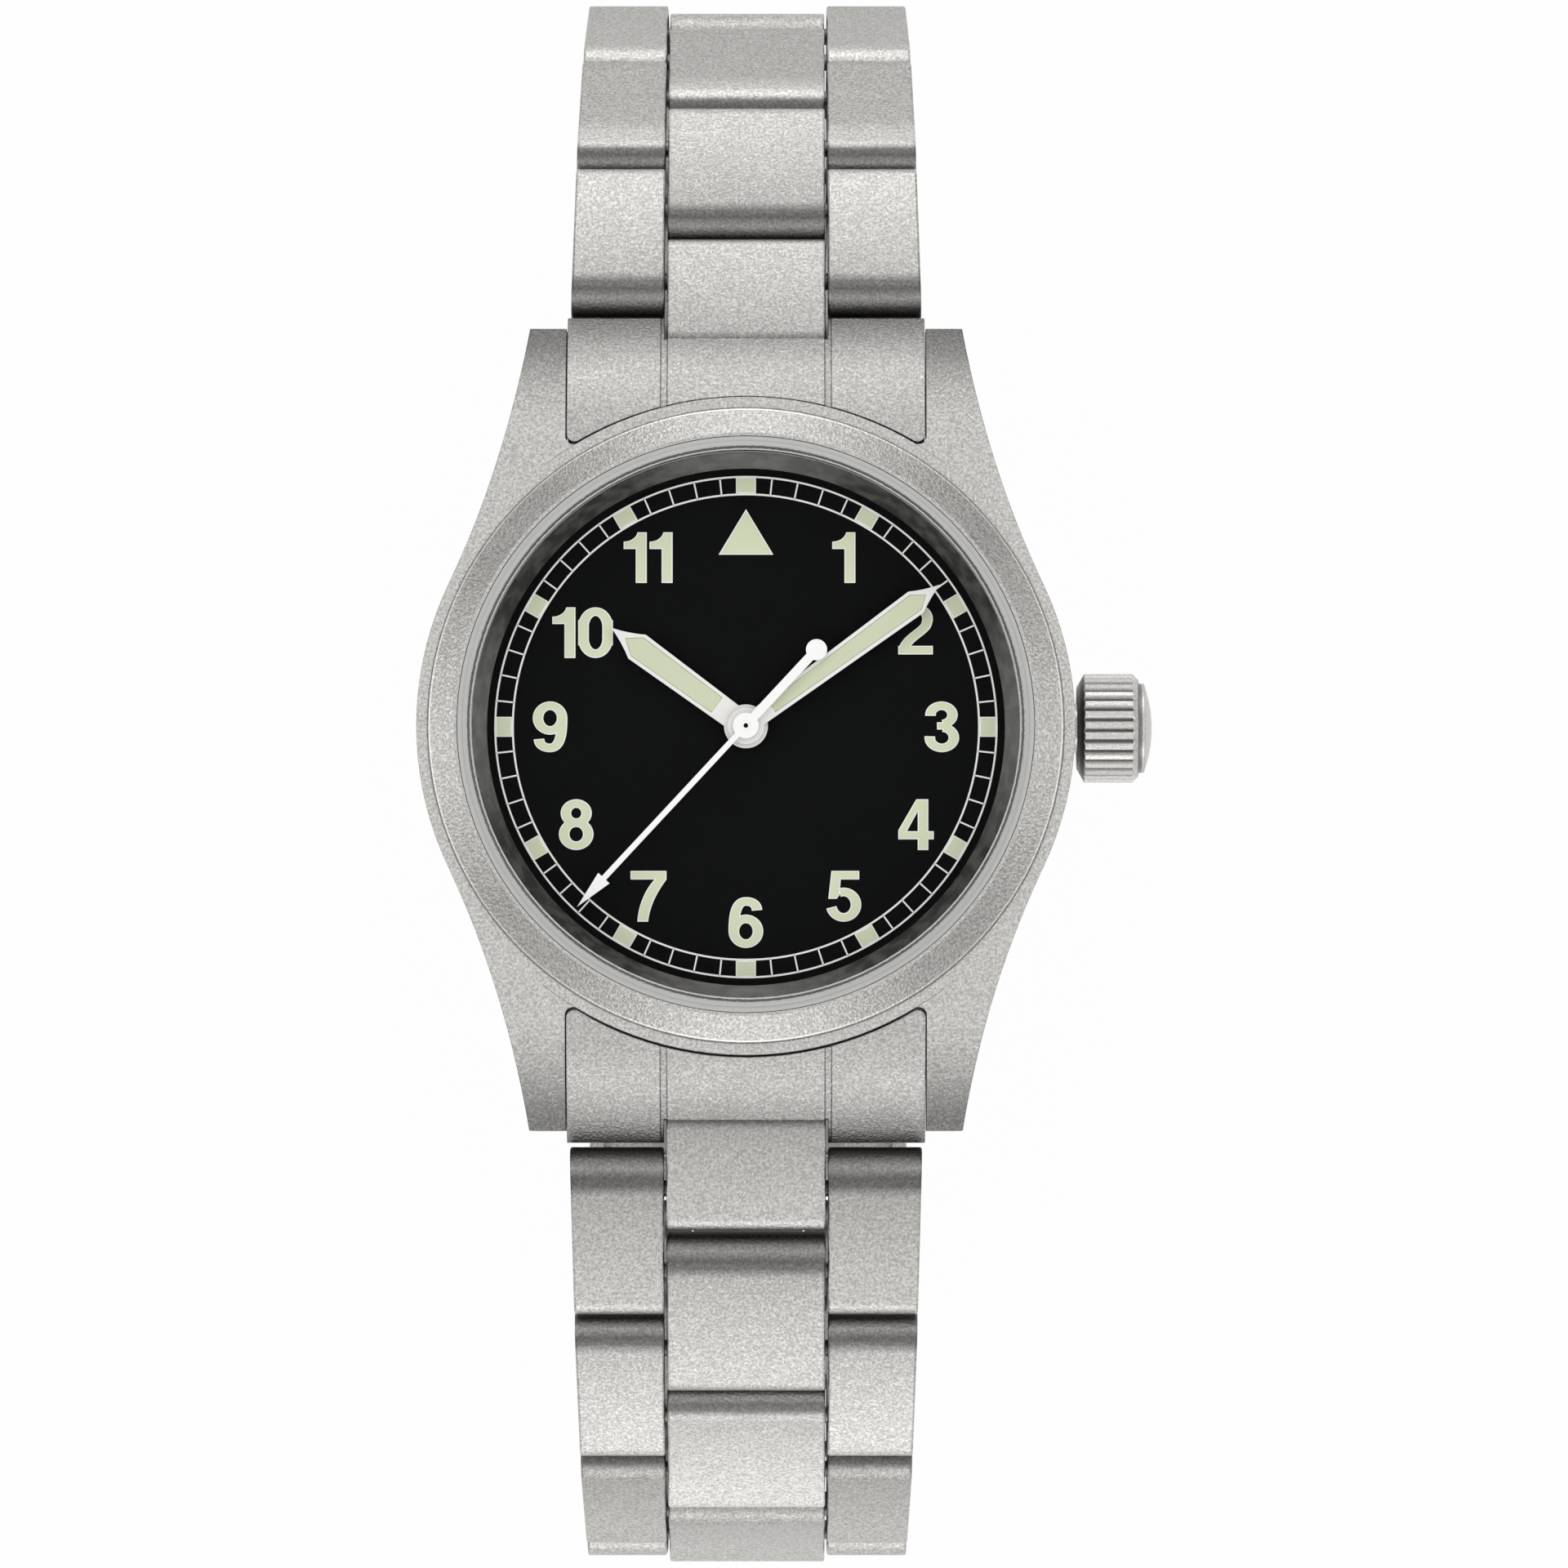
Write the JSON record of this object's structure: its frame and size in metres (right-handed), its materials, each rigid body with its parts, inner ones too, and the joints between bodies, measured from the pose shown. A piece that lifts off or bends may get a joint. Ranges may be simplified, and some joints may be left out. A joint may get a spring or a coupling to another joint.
{
  "type": "wristwatch",
  "caption": "Round steel field watch with a black dial, numerals, a sloped bezel and a fluted crown, closed on a link bracelet with a folding clasp.",
  "frame": {"origin": "on the hands' axis, in the plane of the case back's outer face", "axes": "+Z out through the crystal, +Y to 12 o'clock, +X to the crown"},
  "size_m": [0.0369, 0.0812, 0.0412],
  "materials": {
    "blasted_steel": "fine bead-blasted matt steel",
    "satin_steel": "satin steel",
    "crystal": "clear polished",
    "dial_black": "matt black paint",
    "flange_grey": "dark grey satin",
    "seal_rubber": "matt",
    "movement_plastic": "moulded",
    "nickel_brass": "nickel plated, brushed",
    "wheel_brass": "turned",
    "cell_steel": "bright",
    "coil_copper": "enamelled copper wire",
    "board_green": "lacquered",
    "hand_white": "satin white paint"
  },
  "bodies": {
    "watch_head": {"case_body": "blasted_steel", "bezel": "blasted_steel", "crystal": "crystal", "flange_ring": "flange_grey", "dial": "dial_black", "caseback": "blasted_steel", "case_seals": "seal_rubber", "movement_ring": "movement_plastic", "main_plate": "nickel_brass", "train_bridge": "nickel_brass", "battery_cell": "cell_steel", "motor_coil": "coil_copper", "motor_stator": "nickel_brass", "circuit_board": "board_green", "crown_tube": "satin_steel", "end_link_12": "blasted_steel", "end_link_6": "blasted_steel", "lug_spring_bars": "satin_steel"},
    "seconds": {"seconds_wheel": "wheel_brass", "seconds_hand": "hand_white"},
    "minutes": {"centre_wheel": "wheel_brass", "minute_hand": "hand_white"},
    "hours": {"hour_wheel": "wheel_brass", "hour_hand": "hand_white"},
    "third_wheel": {"third_wheel": "wheel_brass"},
    "intermediate_wheel": {"intermediate_wheel": "wheel_brass"},
    "motor_rotor": {"motor_rotor": "wheel_brass"},
    "minute_wheel": {"minute_wheel": "wheel_brass"},
    "setting_lever": {"setting_lever": "nickel_brass"},
    "crown": {"winding_stem": "satin_steel", "crown": "satin_steel"},
    "bracelet_12_centre_1": {"bracelet_12_centre_1": "blasted_steel"},
    "bracelet_12_side_1": {"bracelet_12_side_1": "blasted_steel"},
    "bracelet_12_centre_2": {"bracelet_12_centre_2": "blasted_steel"},
    "bracelet_12_side_2": {"bracelet_12_side_2": "blasted_steel"},
    "bracelet_12_centre_3": {"bracelet_12_centre_3": "blasted_steel"},
    "bracelet_12_side_3": {"bracelet_12_side_3": "blasted_steel"},
    "bracelet_12_centre_4": {"bracelet_12_centre_4": "blasted_steel"},
    "bracelet_12_side_4": {"bracelet_12_side_4": "blasted_steel"},
    "bracelet_12_centre_5": {"bracelet_12_centre_5": "blasted_steel"},
    "bracelet_12_side_5": {"bracelet_12_side_5": "blasted_steel"},
    "bracelet_12_centre_6": {"bracelet_12_centre_6": "blasted_steel"},
    "bracelet_12_side_6": {"bracelet_12_side_6": "blasted_steel"},
    "bracelet_12_end": {"bracelet_12_end": "blasted_steel"},
    "bracelet_6_centre_1": {"bracelet_6_centre_1": "blasted_steel"},
    "bracelet_6_side_1": {"bracelet_6_side_1": "blasted_steel"},
    "bracelet_6_centre_2": {"bracelet_6_centre_2": "blasted_steel"},
    "bracelet_6_side_2": {"bracelet_6_side_2": "blasted_steel"},
    "bracelet_6_centre_3": {"bracelet_6_centre_3": "blasted_steel"},
    "bracelet_6_side_3": {"bracelet_6_side_3": "blasted_steel"},
    "bracelet_6_centre_4": {"bracelet_6_centre_4": "blasted_steel"},
    "bracelet_6_side_4": {"bracelet_6_side_4": "blasted_steel"},
    "bracelet_6_centre_5": {"bracelet_6_centre_5": "blasted_steel"},
    "bracelet_6_side_5": {"bracelet_6_side_5": "blasted_steel"},
    "bracelet_6_centre_6": {"bracelet_6_centre_6": "blasted_steel"},
    "bracelet_6_side_6": {"bracelet_6_side_6": "blasted_steel"},
    "bracelet_6_end": {"bracelet_6_end": "blasted_steel"},
    "clasp_cover": {"clasp_cover": "blasted_steel"},
    "clasp_long_blade": {"clasp_long_blade": "satin_steel"},
    "clasp_short_blade": {"clasp_short_blade": "satin_steel"}
  },
  "joints": [
    {"name": "seconds_turn", "type": "hinge", "parent": "watch_head", "child": "seconds", "pos_m": [0, 0, 0.0056], "axis": [0, 0, -1], "continuous": true},
    {"name": "minutes_turn", "type": "hinge", "parent": "watch_head", "child": "minutes", "pos_m": [0, 0, 0.0052], "axis": [0, 0, -1], "continuous": true},
    {"name": "hours_turn", "type": "hinge", "parent": "watch_head", "child": "hours", "pos_m": [0, 0, 0.0049], "axis": [0, 0, -1], "continuous": true},
    {"name": "third_wheel_turn", "type": "hinge", "parent": "watch_head", "child": "third_wheel", "pos_m": [-0.00265, 0.00153, 0.0022], "axis": [0, 0, -1], "continuous": true},
    {"name": "intermediate_wheel_turn", "type": "hinge", "parent": "watch_head", "child": "intermediate_wheel", "pos_m": [0.0016, 0.00277, 0.0017], "axis": [0, 0, -1], "continuous": true},
    {"name": "rotor_turn", "type": "hinge", "parent": "watch_head", "child": "motor_rotor", "pos_m": [0.00209, 0.00461, 0.002], "axis": [0, 0, -1], "continuous": true},
    {"name": "minute_wheel_turn", "type": "hinge", "parent": "watch_head", "child": "minute_wheel", "pos_m": [0.0017, -0.0017, 0.0037], "axis": [0, 0, -1], "continuous": true},
    {"name": "crown_pull", "type": "slide", "parent": "watch_head", "child": "setting_lever", "axis": [1, 0, 0], "range_m": [0, 0.0009]},
    {"name": "crown_turn", "type": "hinge", "parent": "setting_lever", "child": "crown", "pos_m": [0.0166, 0, 0.0034], "axis": [1, 0, 0], "continuous": true},
    {"name": "bracelet_12_hinge_1", "type": "hinge", "parent": "watch_head", "child": "bracelet_12_centre_1", "pos_m": [0, 0.01925, 0.0018], "axis": [1, 0, 0], "range_deg": [0, 21.5]},
    {"name": "bracelet_12_hinge_2", "type": "hinge", "parent": "bracelet_12_centre_1", "child": "bracelet_12_side_1", "pos_m": [0, 0.02283, 0.00039], "axis": [1, 0, 0], "range_deg": [0, 5.5]},
    {"name": "bracelet_12_hinge_3", "type": "hinge", "parent": "bracelet_12_side_1", "child": "bracelet_12_centre_2", "pos_m": [0, 0.02666, -0.00156], "axis": [1, 0, 0], "range_deg": [0, 9.5]},
    {"name": "bracelet_12_hinge_4", "type": "hinge", "parent": "bracelet_12_centre_2", "child": "bracelet_12_side_2", "pos_m": [0, 0.03012, -0.00412], "axis": [1, 0, 0], "range_deg": [0, 11]},
    {"name": "bracelet_12_hinge_5", "type": "hinge", "parent": "bracelet_12_side_2", "child": "bracelet_12_centre_3", "pos_m": [0, 0.03302, -0.00729], "axis": [1, 0, 0], "range_deg": [0, 9.5]},
    {"name": "bracelet_12_hinge_6", "type": "hinge", "parent": "bracelet_12_centre_3", "child": "bracelet_12_side_3", "pos_m": [0, 0.03537, -0.0109], "axis": [1, 0, 0], "range_deg": [0, 8]},
    {"name": "bracelet_12_hinge_7", "type": "hinge", "parent": "bracelet_12_side_3", "child": "bracelet_12_centre_4", "pos_m": [0, 0.03718, -0.0148], "axis": [1, 0, 0], "range_deg": [0, 18.21]},
    {"name": "bracelet_12_hinge_8", "type": "hinge", "parent": "bracelet_12_centre_4", "child": "bracelet_12_side_4", "pos_m": [0, 0.03769, -0.01906], "axis": [1, 0, 0], "range_deg": [0, 18.21]},
    {"name": "bracelet_12_hinge_9", "type": "hinge", "parent": "bracelet_12_side_4", "child": "bracelet_12_centre_5", "pos_m": [0, 0.03684, -0.02328], "axis": [1, 0, 0], "range_deg": [0, 18.21]},
    {"name": "bracelet_12_hinge_10", "type": "hinge", "parent": "bracelet_12_centre_5", "child": "bracelet_12_side_5", "pos_m": [0, 0.03472, -0.02702], "axis": [1, 0, 0], "range_deg": [0, 18.21]},
    {"name": "bracelet_12_hinge_11", "type": "hinge", "parent": "bracelet_12_side_5", "child": "bracelet_12_centre_6", "pos_m": [0, 0.03153, -0.0299], "axis": [1, 0, 0], "range_deg": [0, 18.21]},
    {"name": "bracelet_12_hinge_12", "type": "hinge", "parent": "bracelet_12_centre_6", "child": "bracelet_12_side_6", "pos_m": [0, 0.0276, -0.03165], "axis": [1, 0, 0], "range_deg": [0, 18.21]},
    {"name": "bracelet_12_hinge_13", "type": "hinge", "parent": "bracelet_12_side_6", "child": "bracelet_12_end", "pos_m": [0, 0.02332, -0.03208], "axis": [1, 0, 0], "range_deg": [0, 18.21]},
    {"name": "bracelet_6_hinge_1", "type": "hinge", "parent": "watch_head", "child": "bracelet_6_centre_1", "pos_m": [0, -0.01925, 0.0018], "axis": [-1, 0, 0], "range_deg": [0, 3]},
    {"name": "bracelet_6_hinge_2", "type": "hinge", "parent": "bracelet_6_centre_1", "child": "bracelet_6_side_1", "pos_m": [0, -0.0231, 0.0016], "axis": [-1, 0, 0], "range_deg": [0, 11.7]},
    {"name": "bracelet_6_hinge_3", "type": "hinge", "parent": "bracelet_6_side_1", "child": "bracelet_6_centre_2", "pos_m": [0, -0.02725, 0.00051], "axis": [-1, 0, 0], "range_deg": [0, 11.7]},
    {"name": "bracelet_6_hinge_4", "type": "hinge", "parent": "bracelet_6_centre_2", "child": "bracelet_6_side_2", "pos_m": [0, -0.03111, -0.0014], "axis": [-1, 0, 0], "range_deg": [0, 11.7]},
    {"name": "bracelet_6_hinge_5", "type": "hinge", "parent": "bracelet_6_side_2", "child": "bracelet_6_centre_3", "pos_m": [0, -0.03449, -0.00406], "axis": [-1, 0, 0], "range_deg": [0, 11.7]},
    {"name": "bracelet_6_hinge_6", "type": "hinge", "parent": "bracelet_6_centre_3", "child": "bracelet_6_side_3", "pos_m": [0, -0.03726, -0.00734], "axis": [-1, 0, 0], "range_deg": [0, 11.7]},
    {"name": "bracelet_6_hinge_7", "type": "hinge", "parent": "bracelet_6_side_3", "child": "bracelet_6_centre_4", "pos_m": [0, -0.03932, -0.01112], "axis": [-1, 0, 0], "range_deg": [0, 11.7]},
    {"name": "bracelet_6_hinge_8", "type": "hinge", "parent": "bracelet_6_centre_4", "child": "bracelet_6_side_4", "pos_m": [0, -0.04056, -0.01524], "axis": [-1, 0, 0], "range_deg": [0, 18.21]},
    {"name": "bracelet_6_hinge_9", "type": "hinge", "parent": "bracelet_6_side_4", "child": "bracelet_6_centre_5", "pos_m": [0, -0.04045, -0.01954], "axis": [-1, 0, 0], "range_deg": [0, 18.21]},
    {"name": "bracelet_6_hinge_10", "type": "hinge", "parent": "bracelet_6_centre_5", "child": "bracelet_6_side_5", "pos_m": [0, -0.03901, -0.02359], "axis": [-1, 0, 0], "range_deg": [0, 18.21]},
    {"name": "bracelet_6_hinge_11", "type": "hinge", "parent": "bracelet_6_side_5", "child": "bracelet_6_centre_6", "pos_m": [0, -0.03637, -0.02698], "axis": [-1, 0, 0], "range_deg": [0, 18.21]},
    {"name": "bracelet_6_hinge_12", "type": "hinge", "parent": "bracelet_6_centre_6", "child": "bracelet_6_side_6", "pos_m": [0, -0.03281, -0.02939], "axis": [-1, 0, 0], "range_deg": [0, 18.21]},
    {"name": "bracelet_6_hinge_13", "type": "hinge", "parent": "bracelet_6_side_6", "child": "bracelet_6_end", "pos_m": [0, -0.02867, -0.03055], "axis": [-1, 0, 0], "range_deg": [0, 18.21]},
    {"name": "clasp_short_blade_hinge", "type": "hinge", "parent": "bracelet_6_end", "child": "clasp_short_blade", "pos_m": [0, -0.02437, -0.03037], "axis": [1, 0, 0], "range_deg": [-20, 3.49]},
    {"name": "clasp_long_blade_hinge", "type": "hinge", "parent": "clasp_short_blade", "child": "clasp_long_blade", "pos_m": [0, 0.01373, -0.0307], "axis": [1, 0, 0], "range_deg": [0, 150]},
    {"name": "clasp_cover_hinge", "type": "hinge", "parent": "clasp_long_blade", "child": "clasp_cover", "pos_m": [0, -0.02018, -0.03094], "axis": [1, 0, 0], "range_deg": [-150, 0]}
  ],
  "couplings": [
    {"joint": "minutes_turn", "follows": "seconds_turn", "ratio": 0.016667},
    {"joint": "hours_turn", "follows": "seconds_turn", "ratio": 0.0013889},
    {"joint": "third_wheel_turn", "follows": "seconds_turn", "ratio": -0.13333},
    {"joint": "intermediate_wheel_turn", "follows": "seconds_turn", "ratio": -6},
    {"joint": "rotor_turn", "follows": "seconds_turn", "ratio": 30},
    {"joint": "minute_wheel_turn", "follows": "seconds_turn", "ratio": -0.0055556},
    {"joint": "clasp_cover_hinge", "follows": "clasp_long_blade_hinge", "ratio": -1}
  ]
}
